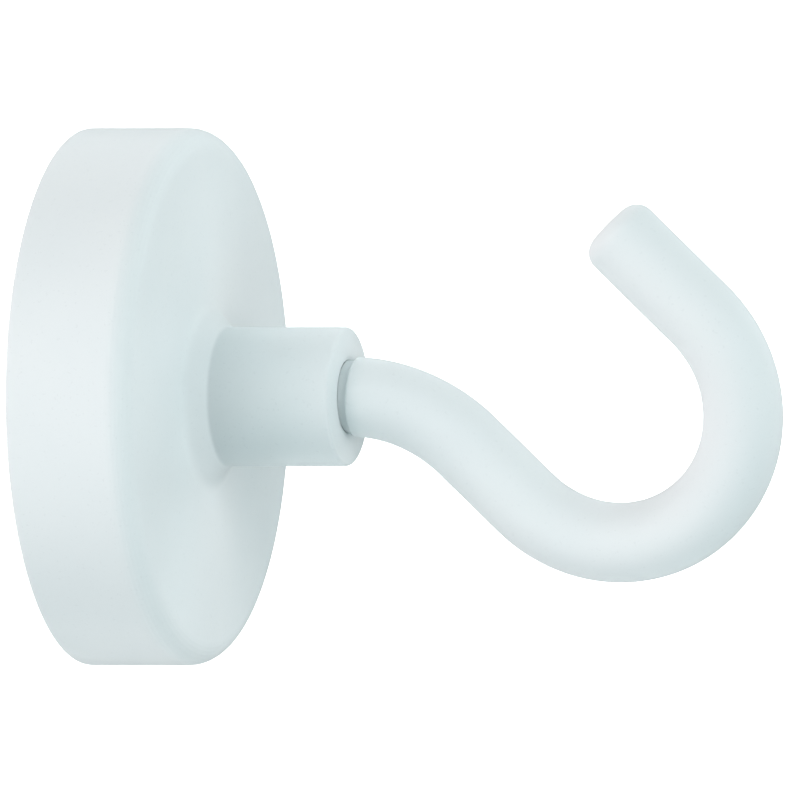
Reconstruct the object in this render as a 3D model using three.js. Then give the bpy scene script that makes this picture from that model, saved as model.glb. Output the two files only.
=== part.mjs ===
// A round pot magnet with a screw-in open hook, finished in smooth white powder coat.
//
// Every piece is drawn standing along its own Y axis, and the finished assembly is laid over so that
// this axis becomes +X. The origin is the centre of the magnet's flat contact face, +X points away from
// the steel that the magnet grips, and +Z points up through the open mouth of the hook.
// All lengths are in millimetres and all angles in radians unless a name says otherwise.

import * as THREE from "three";

// ---- Driving dimensions -------------------------------------------------------------------------

const POT_RADIUS = 16;
const POT_HEIGHT = 7.6;
const POT_WALL = 2;
const POT_FLOOR = 2.3;
const POT_SHOULDER_ROUND = 1.35;
const POT_RIM_ROUND = 0.2;
const POT_INNER_ROUND = 0.5;

const MAGNET_RADIUS = 12.7;
const MAGNET_CHAMFER = 0.25;
const ADHESIVE_THICKNESS = 0.15;
const POTTING_RECESS = 0.25;

const NECK_RADIUS = 4.14;
const NECK_FRONT = 16.19;
const NECK_FRONT_CHAMFER = 0.2;
const CONE_RADIUS = 5.3;
const CONE_TOP = 8.7;
const SPIGOT_RADIUS = 3.1;
const CLENCH_RADIUS = 3.7;
const CLENCH_DEPTH = 0.6;
const SPIGOT_GAP = 0.03;
const MOUTH_RADIUS = 2.42;

// A metric M5 coarse thread, as rings instead of a helix, so that the hook turns freely in the neck.
const THREAD_PITCH = 0.8;
const THREAD_DEPTH = 0.433;
const THREAD_CREST_WIDTH = 0.1;
const THREAD_FLANK_WIDTH = 0.25;
const THREAD_CLEARANCE = 0.08;
const SHANK_CREST_RADIUS = 2.46;
const NECK_THREAD_TURNS = 9;
const SHANK_THREAD_TURNS = 8;
const FIRST_THREAD = 9.1;

const SHANK_END = 8.2;
const SHANK_END_CHAMFER = 0.45;
const RUNOUT_RADIUS = 1.9;
const WIRE_RADIUS = 2.38;
const WIRE_START = 16.7;
const WIRE_START_CHAMFER = 0.12;

// The wire leaves the neck straight, bends down, runs straight, turns up through half a circle and
// ends in a straight leg. Bends are radius and angle at the wire's centreline, positive upwards.
const BEND_START = 16.25;
const DOWN_BEND_RADIUS = 10.15;
const DOWN_BEND_ANGLE = THREE.MathUtils.degToRad(45.4);
const MIDDLE_STRAIGHT = 4.77;
const UP_BEND_RADIUS = 8.11;
const UP_BEND_ANGLE = THREE.MathUtils.degToRad(179.8);
const TIP_STRAIGHT = 7.61;
const TIP_ROUND = 1.15;

const POT_SIDES = 56;
const NECK_SIDES = 36;
const WIRE_SIDES = 24;
const BEND_STEP = THREE.MathUtils.degToRad(3);
const ROUND_STEPS = 4;

// ---- Helpers ------------------------------------------------------------------------------------

/** Points of a quarter round from one angle to another about a centre, in the (radius, height) plane. */
function roundCorner(centreRadius, centreHeight, cornerRadius, fromDegrees, toDegrees) {
  const points = [];
  for (let step = 0; step <= ROUND_STEPS; step += 1) {
    const degrees = THREE.MathUtils.lerp(fromDegrees, toDegrees, step / ROUND_STEPS);
    const angle = THREE.MathUtils.degToRad(degrees);
    const radius = centreRadius + cornerRadius * Math.cos(angle);
    const height = centreHeight + cornerRadius * Math.sin(angle);
    points.push(new THREE.Vector2(radius, height));
  }
  return points;
}

/** A point of a turned profile. */
function at(radius, height) {
  return new THREE.Vector2(radius, height);
}

/** A turned body with a hole through it: its profile is closed on itself. */
function turnedRing(profile, sides) {
  return new THREE.LatheGeometry([...profile, profile[0].clone()], sides);
}

/** Profile points of a run of thread rings, whose first crest is at firstCrest and at crestRadius. */
function threadRings(firstCrest, turns, crestRadius) {
  const rootRadius = crestRadius - THREAD_DEPTH;
  const crestHalf = THREAD_CREST_WIDTH / 2;
  const rootHalf = crestHalf + THREAD_FLANK_WIDTH;
  const points = [];
  for (let turn = 0; turn < turns; turn += 1) {
    const crest = firstCrest + turn * THREAD_PITCH;
    points.push(at(rootRadius, crest - rootHalf));
    points.push(at(crestRadius, crest - crestHalf));
    points.push(at(crestRadius, crest + crestHalf));
    points.push(at(rootRadius, crest + rootHalf));
  }
  return points;
}

/** A mesh with its own material, named for its node. */
function piece(name, geometry, material) {
  const mesh = new THREE.Mesh(geometry, material);
  mesh.name = name;
  return mesh;
}

// ---- Materials ----------------------------------------------------------------------------------

function whitePowderCoat() {
  return new THREE.MeshStandardMaterial({ color: 0xe6edef, roughness: 0.45, metalness: 0 });
}

function nickelPlate() {
  return new THREE.MeshStandardMaterial({ color: 0xc9c7c0, roughness: 0.25, metalness: 1 });
}

function curedEpoxy() {
  return new THREE.MeshStandardMaterial({ color: 0x3a3d40, roughness: 0.4, metalness: 0 });
}

function anaerobicAdhesive() {
  return new THREE.MeshStandardMaterial({ color: 0x8fa05a, roughness: 0.5, metalness: 0 });
}

// ---- Pieces -------------------------------------------------------------------------------------

/** The drawn steel cup: open towards the contact face, with a countersunk hole in its floor. */
function steelPot() {
  const shoulder = POT_SHOULDER_ROUND;
  const rim = POT_RIM_ROUND;
  const bore = POT_RADIUS - POT_WALL;
  const floor = POT_HEIGHT - POT_FLOOR;
  const inner = POT_INNER_ROUND;
  const profile = [
    ...roundCorner(POT_RADIUS - rim, rim, rim, -90, 0),
    ...roundCorner(POT_RADIUS - shoulder, POT_HEIGHT - shoulder, shoulder, 0, 90),
    at(SPIGOT_RADIUS + SPIGOT_GAP, POT_HEIGHT),
    at(SPIGOT_RADIUS + SPIGOT_GAP, floor + CLENCH_DEPTH),
    at(CLENCH_RADIUS + SPIGOT_GAP, floor),
    ...roundCorner(bore - inner, floor - inner, inner, 90, 0),
    at(bore, 0),
  ];
  return piece("steel_pot", turnedRing(profile, POT_SIDES), whitePowderCoat());
}

/** The solid magnet disc, whose front lies flush with the pot's rim in the contact plane. */
function discMagnet() {
  const thickness = POT_HEIGHT - POT_FLOOR - ADHESIVE_THICKNESS;
  const profile = [
    at(0, 0),
    at(MAGNET_RADIUS - MAGNET_CHAMFER, 0),
    at(MAGNET_RADIUS, MAGNET_CHAMFER),
    at(MAGNET_RADIUS, thickness - MAGNET_CHAMFER),
    at(MAGNET_RADIUS - MAGNET_CHAMFER, thickness),
    at(0, thickness),
  ];
  return piece("disc_magnet", new THREE.LatheGeometry(profile, POT_SIDES), nickelPlate());
}

/** The thin film that bonds the back of the magnet to the pot's floor. */
function adhesiveFilm() {
  const radius = MAGNET_RADIUS - MAGNET_CHAMFER;
  const profile = [at(0, 0), at(radius, 0), at(radius, ADHESIVE_THICKNESS), at(0, ADHESIVE_THICKNESS)];
  const mesh = piece("adhesive_film", new THREE.LatheGeometry(profile, POT_SIDES), anaerobicAdhesive());
  mesh.position.y = POT_HEIGHT - POT_FLOOR - ADHESIVE_THICKNESS;
  return mesh;
}

/** The resin that fills the gap between the magnet and the pot's wall, a little below the rim. */
function pottingRing() {
  const outer = POT_RADIUS - POT_WALL;
  const top = POT_HEIGHT - POT_FLOOR - POT_INNER_ROUND;
  const profile = [
    at(MAGNET_RADIUS, POTTING_RECESS),
    at(outer, POTTING_RECESS),
    at(outer, top),
    at(MAGNET_RADIUS, top),
  ];
  return piece("potting_ring", turnedRing(profile, POT_SIDES), curedEpoxy());
}

/**
 * The turned bush that carries the thread. It stands on the pot's floor on a low conical foot, and its
 * spigot goes through the floor and is clenched over inside.
 */
function threadedNeck() {
  const floor = POT_HEIGHT - POT_FLOOR;
  const crestRadius = SHANK_CREST_RADIUS + THREAD_CLEARANCE;
  const drillRadius = crestRadius - THREAD_DEPTH;
  const mouthDepth = MOUTH_RADIUS - drillRadius;
  const profile = [
    at(drillRadius, floor),
    at(CLENCH_RADIUS, floor),
    at(SPIGOT_RADIUS, floor + CLENCH_DEPTH),
    at(SPIGOT_RADIUS, POT_HEIGHT),
    at(CONE_RADIUS, POT_HEIGHT),
    at(NECK_RADIUS, CONE_TOP),
    at(NECK_RADIUS, NECK_FRONT - NECK_FRONT_CHAMFER),
    at(NECK_RADIUS - NECK_FRONT_CHAMFER, NECK_FRONT),
    at(MOUTH_RADIUS, NECK_FRONT),
    at(drillRadius, NECK_FRONT - mouthDepth),
    ...threadRings(FIRST_THREAD, NECK_THREAD_TURNS, crestRadius).reverse(),
  ];
  return piece("threaded_neck", turnedRing(profile, NECK_SIDES), whitePowderCoat());
}

/** The lengths along the wire at which its bends and straights begin, and where it ends. */
function wireStations() {
  const downBendEnd = BEND_START + DOWN_BEND_RADIUS * DOWN_BEND_ANGLE;
  const upBendStart = downBendEnd + MIDDLE_STRAIGHT;
  const upBendEnd = upBendStart + UP_BEND_RADIUS * UP_BEND_ANGLE;
  return { downBendEnd, upBendStart, upBendEnd, tip: upBendEnd + TIP_STRAIGHT };
}

/** Moves a place and heading along the wire by a length, turning at a radius or going straight. */
function advance(place, length, bendRadius = Infinity) {
  const heading = place.heading + length / bendRadius;
  if (bendRadius === Infinity) {
    return {
      along: place.along + length * Math.cos(heading),
      up: place.up + length * Math.sin(heading),
      heading,
    };
  }
  return {
    along: place.along + bendRadius * (Math.sin(heading) - Math.sin(place.heading)),
    up: place.up - bendRadius * (Math.cos(heading) - Math.cos(place.heading)),
    heading,
  };
}

/** Where the centreline is at a length measured along the wire from the contact plane. */
function centrelineAt(length) {
  const { downBendEnd, upBendStart, upBendEnd } = wireStations();
  let place = { along: Math.min(length, BEND_START), up: 0, heading: 0 };
  if (length > BEND_START) {
    place = advance(place, Math.min(length, downBendEnd) - BEND_START, -DOWN_BEND_RADIUS);
  }
  if (length > downBendEnd) {
    place = advance(place, Math.min(length, upBendStart) - downBendEnd);
  }
  if (length > upBendStart) {
    place = advance(place, Math.min(length, upBendEnd) - upBendStart, UP_BEND_RADIUS);
  }
  if (length > upBendEnd) {
    place = advance(place, length - upBendEnd);
  }
  return place;
}

/** Profile points of the plain wire, close together where it will be bent. */
function wireProfile() {
  const { downBendEnd, upBendStart, upBendEnd, tip } = wireStations();
  const points = [
    at(WIRE_RADIUS - WIRE_START_CHAMFER, WIRE_START),
    at(WIRE_RADIUS, WIRE_START + WIRE_START_CHAMFER),
  ];
  const bends = [
    { start: WIRE_START + WIRE_START_CHAMFER, end: downBendEnd, radius: DOWN_BEND_RADIUS },
    { start: upBendStart, end: upBendEnd, radius: UP_BEND_RADIUS },
  ];
  for (const { start, end, radius } of bends) {
    const steps = Math.ceil((end - start) / radius / BEND_STEP);
    const firstStep = start === upBendStart ? 0 : 1;
    for (let step = firstStep; step <= steps; step += 1) {
      points.push(at(WIRE_RADIUS, THREE.MathUtils.lerp(start, end, step / steps)));
    }
  }
  points.push(...roundCorner(WIRE_RADIUS - TIP_ROUND, tip - TIP_ROUND, TIP_ROUND, 0, 90));
  points.push(at(0, tip));
  return points;
}

/** The hook: a rod with a rolled thread at one end, turned straight and then bent in one plane. */
function hook() {
  const rings = threadRings(FIRST_THREAD, SHANK_THREAD_TURNS, SHANK_CREST_RADIUS);
  const rootRadius = SHANK_CREST_RADIUS - THREAD_DEPTH;
  const profile = [
    at(0, SHANK_END),
    at(rootRadius - SHANK_END_CHAMFER, SHANK_END),
    ...rings,
    at(RUNOUT_RADIUS, rings[rings.length - 1].y + THREAD_CREST_WIDTH),
    at(RUNOUT_RADIUS, WIRE_START),
    ...wireProfile(),
  ];
  const geometry = new THREE.LatheGeometry(profile, WIRE_SIDES);
  const vertices = geometry.getAttribute("position");
  for (let index = 0; index < vertices.count; index += 1) {
    const offset = vertices.getZ(index);
    const place = centrelineAt(vertices.getY(index));
    vertices.setY(index, place.along - offset * Math.sin(place.heading));
    vertices.setZ(index, place.up + offset * Math.cos(place.heading));
  }
  geometry.computeVertexNormals();
  return piece("hook", geometry, whitePowderCoat());
}

// ---- Assembly -----------------------------------------------------------------------------------

const magnetBody = new THREE.Group();
magnetBody.add(steelPot(), discMagnet(), adhesiveFilm(), pottingRing(), threadedNeck());

const hookBody = new THREE.Group();
hookBody.add(hook());

const assembly = new THREE.Group();
assembly.add(magnetBody, hookBody);
assembly.rotation.z = -Math.PI / 2;

export default assembly;
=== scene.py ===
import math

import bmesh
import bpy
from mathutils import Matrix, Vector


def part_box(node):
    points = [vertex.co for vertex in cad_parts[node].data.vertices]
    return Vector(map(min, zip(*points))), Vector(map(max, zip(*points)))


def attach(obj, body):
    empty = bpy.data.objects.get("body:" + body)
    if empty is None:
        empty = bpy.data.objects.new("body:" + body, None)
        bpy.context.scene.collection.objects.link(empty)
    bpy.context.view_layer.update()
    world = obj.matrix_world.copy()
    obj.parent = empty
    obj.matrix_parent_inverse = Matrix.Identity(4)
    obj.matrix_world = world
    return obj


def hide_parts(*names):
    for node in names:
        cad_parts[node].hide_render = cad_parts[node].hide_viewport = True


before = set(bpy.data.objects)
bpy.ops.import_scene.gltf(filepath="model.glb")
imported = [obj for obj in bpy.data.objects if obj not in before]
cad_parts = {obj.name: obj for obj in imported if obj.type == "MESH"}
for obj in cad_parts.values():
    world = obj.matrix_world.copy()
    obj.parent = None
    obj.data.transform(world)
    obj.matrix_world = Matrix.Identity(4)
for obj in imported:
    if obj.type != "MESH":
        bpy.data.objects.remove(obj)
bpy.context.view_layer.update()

# A white pot magnet with a screw-in open hook. The magnet's contact face is at the origin, +X points
# away from the steel that it grips, and the hook's mouth opens upwards. Sizes in metres have plain
# names, and sizes in millimetres end in _MM. Angles are in radians unless a name ends in _DEGREES.
# Profiles and the hook's centreline are in millimetres throughout.

MM = 0.001

# ---- Sizes --------------------------------------------------------------------------------------

POT_RADIUS_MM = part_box("steel_pot")[1].y / MM
POT_HEIGHT_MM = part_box("steel_pot")[1].x / MM
POT_WALL_MM = 2.0
POT_SHOULDER_ROUND_MM = 1.35
POT_RIM_ROUND_MM = 0.2
POT_INNER_ROUND_MM = 0.5

MAGNET_RADIUS_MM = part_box("disc_magnet")[1].y / MM
MAGNET_THICKNESS_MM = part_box("disc_magnet")[1].x / MM
MAGNET_EDGE_ROUND_MM = 0.25
POT_FLOOR_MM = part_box("adhesive_film")[1].x / MM
POTTING_RECESS_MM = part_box("potting_ring")[0].x / MM
POTTING_MENISCUS_MM = 0.22

NECK_RADIUS_MM = 4.14
NECK_FRONT_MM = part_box("threaded_neck")[1].x / MM
NECK_FRONT_ROUND_MM = 0.2
CONE_RADIUS_MM = 5.3
CONE_TOP_MM = 8.7
CONE_FOOT_SOFTNESS_MM = 0.45
CONE_TOP_SOFTNESS_MM = 0.12
SPIGOT_RADIUS_MM = 3.1
CLENCH_RADIUS_MM = 3.7
CLENCH_DEPTH_MM = 0.6
SPIGOT_GAP_MM = 0.03

# The coat of paint narrows the neck's mouth.
MOUTH_RADIUS_MM = 2.2

THREAD_PITCH_MM = 0.8
THREAD_DEPTH_MM = 0.433
THREAD_CREST_WIDTH_MM = 0.1
THREAD_FLANK_WIDTH_MM = 0.25
THREAD_CLEARANCE_MM = 0.08
SHANK_CREST_RADIUS_MM = 2.46
FIRST_THREAD_MM = 9.1
NECK_THREAD_TURNS = 9
SHANK_THREAD_TURNS = 8

SHANK_END_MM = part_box("hook")[0].x / MM
SHANK_END_CHAMFER_MM = 0.45
RUNOUT_RADIUS_MM = 1.9
PAINTED_RUNOUT_RADIUS_MM = 2.15
RUNOUT_RAMP_MM = 0.15
WIRE_RADIUS_MM = 2.38
WIRE_START_MM = 16.7
WIRE_START_ROUND_MM = 0.12

BEND_START_MM = 16.25
DOWN_BEND_RADIUS_MM = 10.15
DOWN_BEND_DEGREES = 45.4
MIDDLE_STRAIGHT_MM = 4.77
UP_BEND_RADIUS_MM = 8.11
UP_BEND_DEGREES = 179.8
TIP_STRAIGHT_MM = 7.61
TIP_ROUND_MM = 1.15

# How finely the round shapes are drawn.
TURNED_SIDES = 192
WIRE_SIDES = 96
BEND_STEP_DEGREES = 1.5
ROUND_STEPS = 8
EDGE_SUPPORT_MM = 0.05
LONG_STRETCH_MM = 4 * EDGE_SUPPORT_MM
SHARP_EDGE_DEGREES = 38.0
POINT_RADIUS_MM = 1e-6

# The photograph's viewing angle: the camera is turned round the object, and the hook's plane leans.
CAMERA_YAW_DEGREES = 18.0
HOOK_LEAN_DEGREES = 11.4
CAMERA_DISTANCE = 2.118
CAMERA_LENS_MM = 1600.0
CAMERA_SENSOR_MM = 36.0
AIM_RIGHT_MM = 18.454
AIM_DOWN_MM = 0.203
CAMERA_FAR = 12.0

SOFTBOX_DISTANCE = 1.2
SOFTBOX_SIZE = 0.9
SMALL_SOFTBOX_SIZE = 0.7
LARGE_SOFTBOX_SIZE = 1.8
PLAIN_LIGHT = (1.0, 1.0, 1.0)
WARM_LIGHT = (1.0, 0.85, 0.85)
COOL_LIGHT = (0.75, 0.97, 1.0)

FLOOR_BELOW = 0.12
FLOOR_RADIUS = 8.0
FLOOR_SIDES = 96
SURROUND_BRIGHTNESS = 1.05


# ---- Colours (linear) ---------------------------------------------------------------------------

PAINT_LIGHT = (0.786, 0.832, 0.838)
PAINT_SHADE = (0.772, 0.822, 0.831)
ZINC_DULL = (0.28, 0.29, 0.29)
ZINC_CLEAN = (0.37, 0.375, 0.36)
NICKEL_CLEAN = (0.285, 0.29, 0.28)
NICKEL_SMUDGED = (0.255, 0.26, 0.25)
RESIN_DARK = (0.035, 0.038, 0.042)
RESIN_CLOUDY = (0.07, 0.072, 0.075)
ADHESIVE_DARK = (0.16, 0.24, 0.08)
ADHESIVE_LIGHT = (0.22, 0.30, 0.12)
FLOOR_SHADE = (0.93, 0.93, 0.93)
FLOOR_LIGHT = (0.95, 0.95, 0.95)
FLOOR_GLOW_SHADE = (0.97, 0.97, 0.97)
FLOOR_GLOW_LIGHT = (1.0, 1.0, 1.0)

# How bright the specks in the paint are, as a share of the shaded paint's brightness.
SPECK_SHARE = 0.93


# ---- Profiles -----------------------------------------------------------------------------------
# A profile is a list of (place along the axis, radius, material index of the stretch that follows).


def round_corner(along, radius, corner, start_degrees, end_degrees, material=0):
    """Points of a rounded corner about a centre, from one angle to another; 90 degrees is outwards."""
    points = []
    for step in range(ROUND_STEPS + 1):
        degrees = start_degrees + (end_degrees - start_degrees) * step / ROUND_STEPS
        angle = math.radians(degrees)
        points.append((along + corner * math.cos(angle), radius + corner * math.sin(angle), material))
    return points


def thread_rings(first_crest, turns, crest_radius, material):
    """Points of a run of thread rings at the thread's pitch."""
    root_radius = crest_radius - THREAD_DEPTH_MM
    crest_half = THREAD_CREST_WIDTH_MM / 2
    root_half = crest_half + THREAD_FLANK_WIDTH_MM
    points = []
    for turn in range(turns):
        crest = first_crest + turn * THREAD_PITCH_MM
        points.append((crest - root_half, root_radius, material))
        points.append((crest - crest_half, crest_radius, material))
        points.append((crest + crest_half, crest_radius, material))
        points.append((crest + root_half, root_radius, material))
    return points


def soft_bend(before, corner, after, reach, material=0):
    """Points of a gentle curve in place of a corner; it starts and ends that far from the corner."""
    corner = Vector(corner)
    start = corner + (Vector(before) - corner).normalized() * reach
    end = corner + (Vector(after) - corner).normalized() * reach
    points = []
    for step in range(ROUND_STEPS + 1):
        share = step / ROUND_STEPS
        place = start.lerp(corner, share).lerp(corner.lerp(end, share), share)
        points.append((place.x, place.y, material))
    return points


def with_edge_supports(profile, closed):
    """The same profile with extra points close to the ends of its long straight stretches, so that
    flat faces shade flat right up to their rounded edges."""
    supported = []
    count = len(profile)
    for index, (along, radius, material) in enumerate(profile):
        supported.append((along, radius, material))
        if index == count - 1 and not closed:
            break
        next_along, next_radius, _ = profile[(index + 1) % count]
        length = math.hypot(next_along - along, next_radius - radius)
        if length > LONG_STRETCH_MM:
            for share in (EDGE_SUPPORT_MM / length, 1 - EDGE_SUPPORT_MM / length):
                along_between = along + (next_along - along) * share
                radius_between = radius + (next_radius - radius) * share
                supported.append((along_between, radius_between, material))
    return supported


# ---- The hook's centreline ----------------------------------------------------------------------


def hook_stations():
    """The lengths along the wire at which the bends begin and end, and the length at its tip."""
    down_bend_end = BEND_START_MM + DOWN_BEND_RADIUS_MM * math.radians(DOWN_BEND_DEGREES)
    up_bend_start = down_bend_end + MIDDLE_STRAIGHT_MM
    up_bend_end = up_bend_start + UP_BEND_RADIUS_MM * math.radians(UP_BEND_DEGREES)
    return down_bend_end, up_bend_start, up_bend_end, up_bend_end + TIP_STRAIGHT_MM


def advance(place, length, bend_radius=math.inf):
    """Where (along, up, heading) has moved to after a length of wire, straight or round a bend. A
    negative bend radius turns downwards."""
    along, up, heading = place
    turned_to = heading + length / bend_radius
    if math.isinf(bend_radius):
        return along + length * math.cos(heading), up + length * math.sin(heading), heading
    along += bend_radius * (math.sin(turned_to) - math.sin(heading))
    up -= bend_radius * (math.cos(turned_to) - math.cos(heading))
    return along, up, turned_to


def hook_centreline(length):
    """(along, up, heading) of the wire's centre at a length measured from the contact face."""
    down_bend_end, up_bend_start, up_bend_end, _ = hook_stations()
    place = (min(length, BEND_START_MM), 0.0, 0.0)
    if length > BEND_START_MM:
        place = advance(place, min(length, down_bend_end) - BEND_START_MM, -DOWN_BEND_RADIUS_MM)
    if length > down_bend_end:
        place = advance(place, min(length, up_bend_start) - down_bend_end)
    if length > up_bend_start:
        place = advance(place, min(length, up_bend_end) - up_bend_start, UP_BEND_RADIUS_MM)
    if length > up_bend_end:
        place = advance(place, length - up_bend_end)
    return place


def straight_axis(length):
    """The centreline of a piece that isn't bent."""
    return length, 0.0, 0.0


# ---- Mesh building ------------------------------------------------------------------------------


def ring_of_vertices(mesh, centre, radius_mm, sides):
    """One ring of vertices square to the centreline, or a single vertex where the radius is nought."""
    along, up, heading = centre
    across = Vector((0, 1, 0))
    upright = Vector((-math.sin(heading), 0, math.cos(heading)))
    middle = Vector((along, 0, up))
    if radius_mm < POINT_RADIUS_MM:
        return [mesh.verts.new(middle * MM)]
    ring = []
    for side in range(sides):
        angle = 2 * math.pi * side / sides
        spoke = across * math.cos(angle) + upright * math.sin(angle)
        ring.append(mesh.verts.new((middle + spoke * radius_mm) * MM))
    return ring


def join_rings(mesh, first, second, material):
    """Faces between two neighbouring rings."""
    sides = max(len(first), len(second))
    for side in range(sides):
        after = (side + 1) % sides
        if len(first) == 1:
            corners = (first[0], second[after], second[side])
        elif len(second) == 1:
            corners = (first[side], first[after], second[0])
        else:
            corners = (first[side], first[after], second[after], second[side])
        mesh.faces.new(corners).material_index = material


def round_piece(name, body, node, profile, materials, closed=False, sides=TURNED_SIDES,
                centreline=straight_axis):
    """A piece with round sections along a centreline, which stands for one CAD node."""
    points = with_edge_supports(profile, closed)
    mesh = bmesh.new()
    rings = [ring_of_vertices(mesh, centreline(along), radius, sides) for along, radius, _ in points]
    for index in range(len(points) if closed else len(points) - 1):
        join_rings(mesh, rings[index], rings[(index + 1) % len(points)], points[index][2])
    bmesh.ops.recalc_face_normals(mesh, faces=mesh.faces)
    data = bpy.data.meshes.new(name)
    mesh.to_mesh(data)
    mesh.free()
    data.shade_smooth()
    data.set_sharp_from_angle(angle=math.radians(SHARP_EDGE_DEGREES))
    for material in materials:
        data.materials.append(material)
    piece = bpy.data.objects.new(name, data)
    bpy.context.scene.collection.objects.link(piece)
    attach(piece, body)
    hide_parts(node)
    return piece


# ---- Materials ----------------------------------------------------------------------------------


class Shader:
    """A material's node tree, with short ways to add the nodes that these materials share."""

    def __init__(self, name):
        self.material = bpy.data.materials.new(name)
        self.material.use_nodes = True
        self.tree = self.material.node_tree
        self.principled = self.tree.nodes["Principled BSDF"]
        self.place = self.tree.nodes.new("ShaderNodeTexCoord").outputs["Object"]

    def link(self, output, socket):
        self.tree.links.new(output, socket)

    def noise(self, scale, detail=2.0, roughness=0.5, stretch=None):
        """Noise from nought to one with features of about 1/scale metres."""
        place = self.place
        if stretch is not None:
            mapping = self.tree.nodes.new("ShaderNodeMapping")
            mapping.inputs["Scale"].default_value = stretch
            self.link(place, mapping.inputs["Vector"])
            place = mapping.outputs["Vector"]
        noise = self.tree.nodes.new("ShaderNodeTexNoise")
        noise.inputs["Scale"].default_value = scale
        noise.inputs["Detail"].default_value = detail
        noise.inputs["Roughness"].default_value = roughness
        self.link(place, noise.inputs["Vector"])
        return noise.outputs["Fac"]

    def remap(self, value, low, high, new_low, new_high):
        """The value moved from one range to another and kept inside it."""
        remap = self.tree.nodes.new("ShaderNodeMapRange")
        remap.inputs["From Min"].default_value = low
        remap.inputs["From Max"].default_value = high
        remap.inputs["To Min"].default_value = new_low
        remap.inputs["To Max"].default_value = new_high
        self.link(value, remap.inputs["Value"])
        return remap.outputs["Result"]

    def mix(self, factor, first, second):
        """A colour between two colours; each is a colour or another node's output."""
        mix = self.tree.nodes.new("ShaderNodeMix")
        mix.data_type = "RGBA"
        self.link(factor, mix.inputs["Factor"])
        for socket, colour in ((mix.inputs["A"], first), (mix.inputs["B"], second)):
            if isinstance(colour, tuple):
                socket.default_value = (*colour, 1.0)
            else:
                self.link(colour, socket)
        return mix.outputs["Result"]

    def bump(self, height, distance, onto=None):
        """A bumped normal whose height range is that distance, over another bump if one is given."""
        bump = self.tree.nodes.new("ShaderNodeBump")
        bump.inputs["Distance"].default_value = distance
        self.link(height, bump.inputs["Height"])
        if onto is not None:
            self.link(onto, bump.inputs["Normal"])
        return bump.outputs["Normal"]


def powder_coat(name):
    """Smooth white powder coat: faint orange peel, darker specks, slight changes in tint and gloss."""
    shader = Shader(name)
    principled = shader.principled
    tint = shader.remap(shader.noise(140, detail=3), 0.35, 0.65, 0.0, 1.0)
    speck = shader.remap(shader.noise(5200, detail=1), 0.66, 0.74, 0.0, 0.5)
    coat = shader.mix(tint, PAINT_LIGHT, PAINT_SHADE)
    speck_colour = tuple(SPECK_SHARE * part for part in PAINT_SHADE)
    shader.link(shader.mix(speck, coat, speck_colour), principled.inputs["Base Color"])
    gloss = shader.remap(shader.noise(420, detail=3), 0.3, 0.7, 0.56, 0.66)
    shader.link(gloss, principled.inputs["Roughness"])
    peel = shader.bump(shader.noise(850, detail=1.5), 0.000012)
    fine = shader.bump(shader.noise(4200, detail=2), 0.0000012, onto=peel)
    shader.link(fine, principled.inputs["Normal"])
    principled.inputs["IOR"].default_value = 1.45
    principled.inputs["Specular IOR Level"].default_value = 0.38
    return shader.material


def bare_metal(name):
    """Bare zinc-plated or ground steel: dull grey, with fine turning marks and darker patches."""
    shader = Shader(name)
    principled = shader.principled
    patch = shader.remap(shader.noise(900, detail=4), 0.35, 0.65, 0.0, 1.0)
    shader.link(shader.mix(patch, ZINC_DULL, ZINC_CLEAN), principled.inputs["Base Color"])
    shader.link(shader.remap(patch, 0.0, 1.0, 0.32, 0.5), principled.inputs["Roughness"])
    marks = shader.noise(600, detail=2, stretch=(14.0, 0.6, 0.6))
    shader.link(shader.bump(marks, 0.000006), principled.inputs["Normal"])
    principled.inputs["Metallic"].default_value = 1.0
    return shader.material


def nickel_plate(name):
    """Satin nickel over a sintered magnet, with fine rubbing marks and faint smudges."""
    shader = Shader(name)
    principled = shader.principled
    smudge = shader.remap(shader.noise(190, detail=4), 0.38, 0.66, 0.0, 1.0)
    shader.link(shader.mix(smudge, NICKEL_CLEAN, NICKEL_SMUDGED), principled.inputs["Base Color"])
    shader.link(shader.remap(smudge, 0.0, 1.0, 0.2, 0.27), principled.inputs["Roughness"])
    grain = shader.bump(shader.noise(2600, detail=3), 0.000004)
    rubs = shader.noise(300, detail=2, stretch=(1.0, 0.8, 26.0))
    shader.link(shader.bump(rubs, 0.000003, onto=grain), principled.inputs["Normal"])
    principled.inputs["Metallic"].default_value = 1.0
    return shader.material


def potting_resin(name):
    """Dark cured epoxy with a soft gloss, tiny bubbles and cloudy streaks."""
    shader = Shader(name)
    principled = shader.principled
    cloud = shader.remap(shader.noise(330, detail=4), 0.35, 0.65, 0.0, 1.0)
    shader.link(shader.mix(cloud, RESIN_DARK, RESIN_CLOUDY), principled.inputs["Base Color"])
    shader.link(shader.remap(cloud, 0.0, 1.0, 0.2, 0.36), principled.inputs["Roughness"])
    bubbles = shader.remap(shader.noise(2400, detail=1), 0.62, 0.7, 0.0, 1.0)
    waves = shader.bump(shader.noise(500, detail=2), 0.00003)
    shader.link(shader.bump(bubbles, 0.00002, onto=waves), principled.inputs["Normal"])
    return shader.material


def bond_line(name):
    """The green adhesive behind the magnet, slightly mottled."""
    shader = Shader(name)
    principled = shader.principled
    mottle = shader.remap(shader.noise(700, detail=3), 0.35, 0.65, 0.0, 1.0)
    shader.link(shader.mix(mottle, ADHESIVE_DARK, ADHESIVE_LIGHT), principled.inputs["Base Color"])
    shader.link(shader.remap(mottle, 0.0, 1.0, 0.4, 0.6), principled.inputs["Roughness"])
    shader.link(shader.bump(mottle, 0.00001), principled.inputs["Normal"])
    return shader.material


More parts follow.
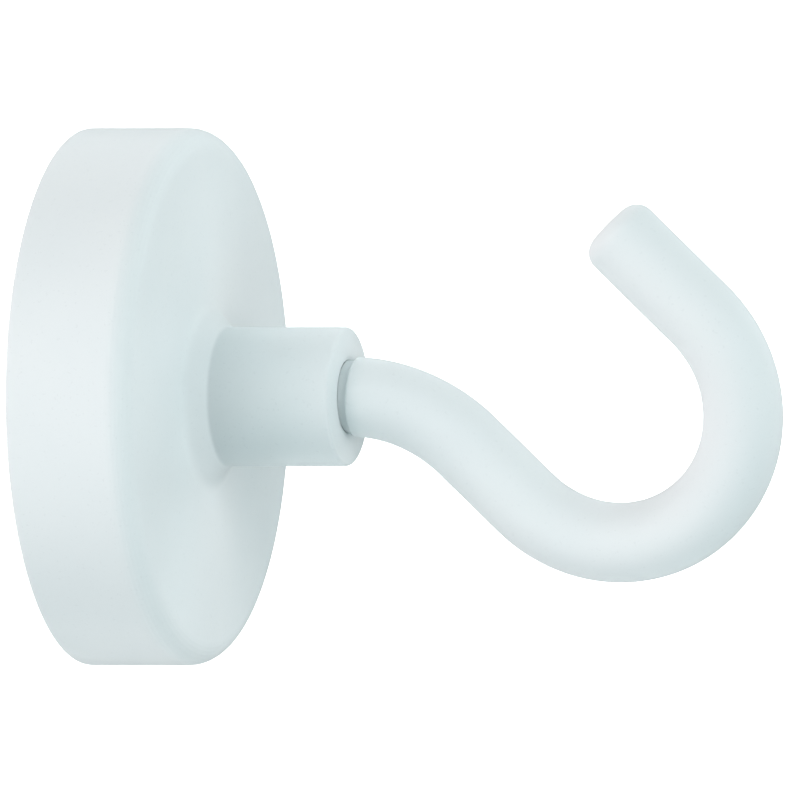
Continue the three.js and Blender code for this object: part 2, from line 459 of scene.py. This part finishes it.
def pale_floor(name):
    """A plain matt white studio floor with the faintest change in tone. It glows, so that it looks as
    white as the surround."""
    shader = Shader(name)
    principled = shader.principled
    tone = shader.noise(6, detail=2)
    shader.link(shader.mix(tone, FLOOR_SHADE, FLOOR_LIGHT), principled.inputs["Base Color"])
    glow = shader.mix(tone, FLOOR_GLOW_SHADE, FLOOR_GLOW_LIGHT)
    shader.link(glow, principled.inputs["Emission Color"])
    principled.inputs["Emission Strength"].default_value = SURROUND_BRIGHTNESS
    principled.inputs["Roughness"].default_value = 0.9
    principled.inputs["Specular IOR Level"].default_value = 0.1
    return shader.material


# ---- Pieces -------------------------------------------------------------------------------------

# Which of a piece's materials a stretch of its profile gets. ONLY is for a piece that has just one.
PAINT, BARE = 0, 1
ONLY = 0


def make_pot(paint, bare):
    """The steel cup: painted outside, bare on its ground rim and inside, where the magnet sits."""
    shoulder = POT_SHOULDER_ROUND_MM
    rim = POT_RIM_ROUND_MM
    bore = POT_RADIUS_MM - POT_WALL_MM
    inner = POT_INNER_ROUND_MM
    hole = SPIGOT_RADIUS_MM + SPIGOT_GAP_MM
    profile = [
        (0.0, bore, BARE),
        *round_corner(rim, POT_RADIUS_MM - rim, rim, 180, 90),
        *round_corner(POT_HEIGHT_MM - shoulder, POT_RADIUS_MM - shoulder, shoulder, 90, 0),
        (POT_HEIGHT_MM, hole, BARE),
        (POT_FLOOR_MM + CLENCH_DEPTH_MM, hole, BARE),
        (POT_FLOOR_MM, CLENCH_RADIUS_MM + SPIGOT_GAP_MM, BARE),
        *round_corner(POT_FLOOR_MM - inner, bore - inner, inner, 0, 90, BARE),
    ]
    return round_piece("painted_pot", "magnet_base", "steel_pot", profile,
                       [paint, bare], closed=True)


def make_neck(paint, bare):
    """The threaded bush. Its conical foot is painted together with the pot's face, so the paint
    runs from one to the other in a gentle curve."""
    cone_foot = (POT_HEIGHT_MM, CONE_RADIUS_MM)
    cone_top = (CONE_TOP_MM, NECK_RADIUS_MM)
    edge = NECK_FRONT_ROUND_MM
    crest_radius = SHANK_CREST_RADIUS_MM + THREAD_CLEARANCE_MM
    drill_radius = crest_radius - THREAD_DEPTH_MM
    rings = thread_rings(FIRST_THREAD_MM, NECK_THREAD_TURNS, crest_radius, BARE)
    profile = [
        (POT_FLOOR_MM, drill_radius, BARE),
        (POT_FLOOR_MM, CLENCH_RADIUS_MM, BARE),
        (POT_FLOOR_MM + CLENCH_DEPTH_MM, SPIGOT_RADIUS_MM, BARE),
        (POT_HEIGHT_MM, SPIGOT_RADIUS_MM, BARE),
        *soft_bend((POT_HEIGHT_MM, POT_RADIUS_MM), cone_foot, cone_top, CONE_FOOT_SOFTNESS_MM),
        *soft_bend(cone_foot, cone_top, (NECK_FRONT_MM, NECK_RADIUS_MM), CONE_TOP_SOFTNESS_MM),
        *round_corner(NECK_FRONT_MM - edge, NECK_RADIUS_MM - edge, edge, 90, 0),
        (NECK_FRONT_MM, MOUTH_RADIUS_MM, PAINT),
        (NECK_FRONT_MM - (MOUTH_RADIUS_MM - drill_radius), drill_radius, BARE),
        *reversed(rings),
    ]
    return round_piece("painted_neck", "magnet_base", "threaded_neck", profile,
                       [paint, bare], closed=True)


def make_magnet(nickel):
    """The magnet disc, with small rounded edges."""
    edge = MAGNET_EDGE_ROUND_MM
    profile = [
        (0.0, 0.0, ONLY),
        *round_corner(edge, MAGNET_RADIUS_MM - edge, edge, 180, 90),
        *round_corner(MAGNET_THICKNESS_MM - edge, MAGNET_RADIUS_MM - edge, edge, 90, 0),
        (MAGNET_THICKNESS_MM, 0.0, ONLY),
    ]
    return round_piece("nickel_magnet", "magnet_base", "disc_magnet", profile,
                       [nickel])


def make_potting(resin):
    """The resin ring, whose open face is hollowed a little where it wets the magnet and the pot."""
    inner = MAGNET_RADIUS_MM
    outer = POT_RADIUS_MM - POT_WALL_MM
    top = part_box("potting_ring")[1].x / MM
    open_face = []
    for step in range(2 * ROUND_STEPS + 1):
        share = step / (2 * ROUND_STEPS)
        hollow = POTTING_MENISCUS_MM * (1 - (2 * share - 1) ** 2)
        open_face.append((POTTING_RECESS_MM + hollow, inner + (outer - inner) * share, ONLY))
    profile = [*open_face, (top, outer, ONLY), (top, inner, ONLY)]
    return round_piece("resin_ring", "magnet_base", "potting_ring", profile,
                       [resin], closed=True)


def plain_wire_profile():
    """The painted wire, with points close together where it is bent and round its blunt tip."""
    down_bend_end, up_bend_start, up_bend_end, tip = hook_stations()
    edge = WIRE_START_ROUND_MM
    points = round_corner(WIRE_START_MM + edge, WIRE_RADIUS_MM - edge, edge, 180, 90)
    first_bend = (WIRE_START_MM + 2 * edge, down_bend_end, DOWN_BEND_RADIUS_MM)
    for start, end, radius in (first_bend, (up_bend_start, up_bend_end, UP_BEND_RADIUS_MM)):
        steps = math.ceil(math.degrees((end - start) / radius) / BEND_STEP_DEGREES)
        for step in range(steps + 1):
            points.append((start + (end - start) * step / steps, WIRE_RADIUS_MM, PAINT))
    points += round_corner(tip - TIP_ROUND_MM, WIRE_RADIUS_MM - TIP_ROUND_MM, TIP_ROUND_MM, 90, 0)
    points.append((tip, 0.0, PAINT))
    return points


def make_hook(paint, bare):
    """The hook: painted wire, whose threaded shank is bare as far as the thread's run-out."""
    rings = thread_rings(FIRST_THREAD_MM, SHANK_THREAD_TURNS, SHANK_CREST_RADIUS_MM, BARE)
    root_radius = SHANK_CREST_RADIUS_MM - THREAD_DEPTH_MM
    profile = [
        (SHANK_END_MM, 0.0, BARE),
        (SHANK_END_MM, root_radius - SHANK_END_CHAMFER_MM, BARE),
        *rings,
        (rings[-1][0] + THREAD_CREST_WIDTH_MM, RUNOUT_RADIUS_MM, BARE),
        (NECK_FRONT_MM - RUNOUT_RAMP_MM, RUNOUT_RADIUS_MM, PAINT),
        (NECK_FRONT_MM, PAINTED_RUNOUT_RADIUS_MM, PAINT),
        (WIRE_START_MM, PAINTED_RUNOUT_RADIUS_MM, PAINT),
        *plain_wire_profile(),
    ]
    return round_piece("painted_hook", "hook", "hook", profile, [paint, bare],
                       sides=WIRE_SIDES, centreline=hook_centreline)


def dress_adhesive(material):
    """The film behind the magnet keeps its CAD mesh and gets a better material."""
    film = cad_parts["adhesive_film"]
    film.data.materials.clear()
    film.data.materials.append(material)


# ---- Studio -------------------------------------------------------------------------------------


def camera_axes():
    """The camera's right, up and backward directions at the photograph's viewing angle."""
    yaw = math.radians(CAMERA_YAW_DEGREES)
    lean = math.radians(HOOK_LEAN_DEGREES)
    right = Vector((math.cos(yaw), math.sin(yaw) * math.cos(lean), -math.sin(yaw) * math.sin(lean)))
    up = Vector((0, math.sin(lean), math.cos(lean)))
    return right, up, right.cross(up)


def make_camera():
    """A very long lens from far away, which shows almost no perspective."""
    right, up, back = camera_axes()
    target = (right * AIM_RIGHT_MM - up * AIM_DOWN_MM) * MM
    data = bpy.data.cameras.new("camera")
    data.lens = CAMERA_LENS_MM
    data.sensor_width = CAMERA_SENSOR_MM
    data.clip_end = CAMERA_FAR
    camera = bpy.data.objects.new("camera", data)
    turn = Matrix((right, up, back)).transposed().to_4x4()
    camera.matrix_world = Matrix.Translation(target + back * CAMERA_DISTANCE) @ turn
    bpy.context.scene.collection.objects.link(camera)
    bpy.context.scene.camera = camera


def make_softbox(name, direction, watts, colour, size=SOFTBOX_SIZE):
    """A round area light that faces the object from a direction given in the camera's axes."""
    right, up, back = camera_axes()
    toward = (right * direction[0] + up * direction[1] + back * direction[2]).normalized()
    data = bpy.data.lights.new(name, "AREA")
    data.shape = "DISK"
    data.size = size
    data.energy = watts
    data.color = colour
    light = bpy.data.objects.new(name, data)
    light.location = toward * SOFTBOX_DISTANCE
    light.rotation_mode = "QUATERNION"
    light.rotation_quaternion = toward.to_track_quat("Z", "Y")
    light.visible_camera = False
    bpy.context.scene.collection.objects.link(light)


def light_the_object():
    """A tent of softboxes all round, strongest from the left, the front right and behind."""
    make_softbox("front_left", (-0.7, 0.1, 0.7), 2.0, WARM_LIGHT)
    make_softbox("front_right", (0.7, 0.1, 0.7), 7.5, PLAIN_LIGHT)
    make_softbox("front_upper_left", (-0.55, 0.55, 0.62), 4.0, PLAIN_LIGHT)
    make_softbox("front_lower_left", (-0.5, -0.5, 0.7), 3.5, COOL_LIGHT, SMALL_SOFTBOX_SIZE)
    make_softbox("front_lower_right", (0.5, -0.5, 0.7), 2.0, COOL_LIGHT, SMALL_SOFTBOX_SIZE)
    make_softbox("left", (-1.0, 0.0, 0.15), 11.0, WARM_LIGHT, LARGE_SOFTBOX_SIZE)
    make_softbox("right", (0.95, -0.3, -0.1), 2.5, PLAIN_LIGHT, SMALL_SOFTBOX_SIZE)
    make_softbox("lower_left", (-0.75, -0.6, 0.25), 3.0, PLAIN_LIGHT)
    make_softbox("lower_right", (0.75, -0.6, 0.25), 1.5, COOL_LIGHT)
    make_softbox("upper_right", (0.7, 0.7, 0.25), 2.0, COOL_LIGHT)
    make_softbox("top", (0.0, 1.0, 0.15), 2.5, COOL_LIGHT)
    make_softbox("back_left", (-0.8, 0.4, -0.5), 3.0, WARM_LIGHT, LARGE_SOFTBOX_SIZE)
    make_softbox("back_right", (0.8, 0.4, -0.5), 3.5, PLAIN_LIGHT)
    make_softbox("back_upper", (0.0, 0.8, -0.6), 6.0, PLAIN_LIGHT)
    make_softbox("back_lower", (0.0, -0.75, -0.6), 6.0, PLAIN_LIGHT)


def make_world():
    """An even white surround that the camera sees, and that leaves the lighting to the softboxes."""
    world = bpy.data.worlds.new("studio")
    world.use_nodes = True
    background = world.node_tree.nodes["Background"]
    background.inputs["Color"].default_value = (1.0, 1.0, 1.0, 1.0)
    background.inputs["Strength"].default_value = SURROUND_BRIGHTNESS
    world.cycles_visibility.diffuse = False
    world.cycles_visibility.glossy = False
    bpy.context.scene.world = world


def make_floor(material):
    """A round pale floor well below the object."""
    mesh = bmesh.new()
    bmesh.ops.create_circle(mesh, cap_ends=True, segments=FLOOR_SIDES, radius=FLOOR_RADIUS)
    data = bpy.data.meshes.new("floor")
    mesh.to_mesh(data)
    mesh.free()
    data.materials.append(material)
    floor = bpy.data.objects.new("floor", data)
    floor.location = (0, 0, -FLOOR_BELOW)
    floor.visible_diffuse = False
    floor.visible_glossy = False
    floor.visible_shadow = False
    bpy.context.scene.collection.objects.link(floor)


def set_view():
    """Plain colours, with no film look."""
    view = bpy.context.scene.view_settings
    view.view_transform = "Standard"
    view.look = "None"


# ---- Everything together ------------------------------------------------------------------------

white = powder_coat("white_powder_coat")
bare_steel = bare_metal("zinc_plated_steel")

make_pot(white, bare_steel)
make_neck(white, bare_steel)
make_magnet(nickel_plate("nickel"))
make_potting(potting_resin("epoxy_resin"))
dress_adhesive(bond_line("green_adhesive"))
make_hook(white, bare_steel)

set_view()
make_world()
light_the_object()
make_floor(pale_floor("white_floor"))
make_camera()
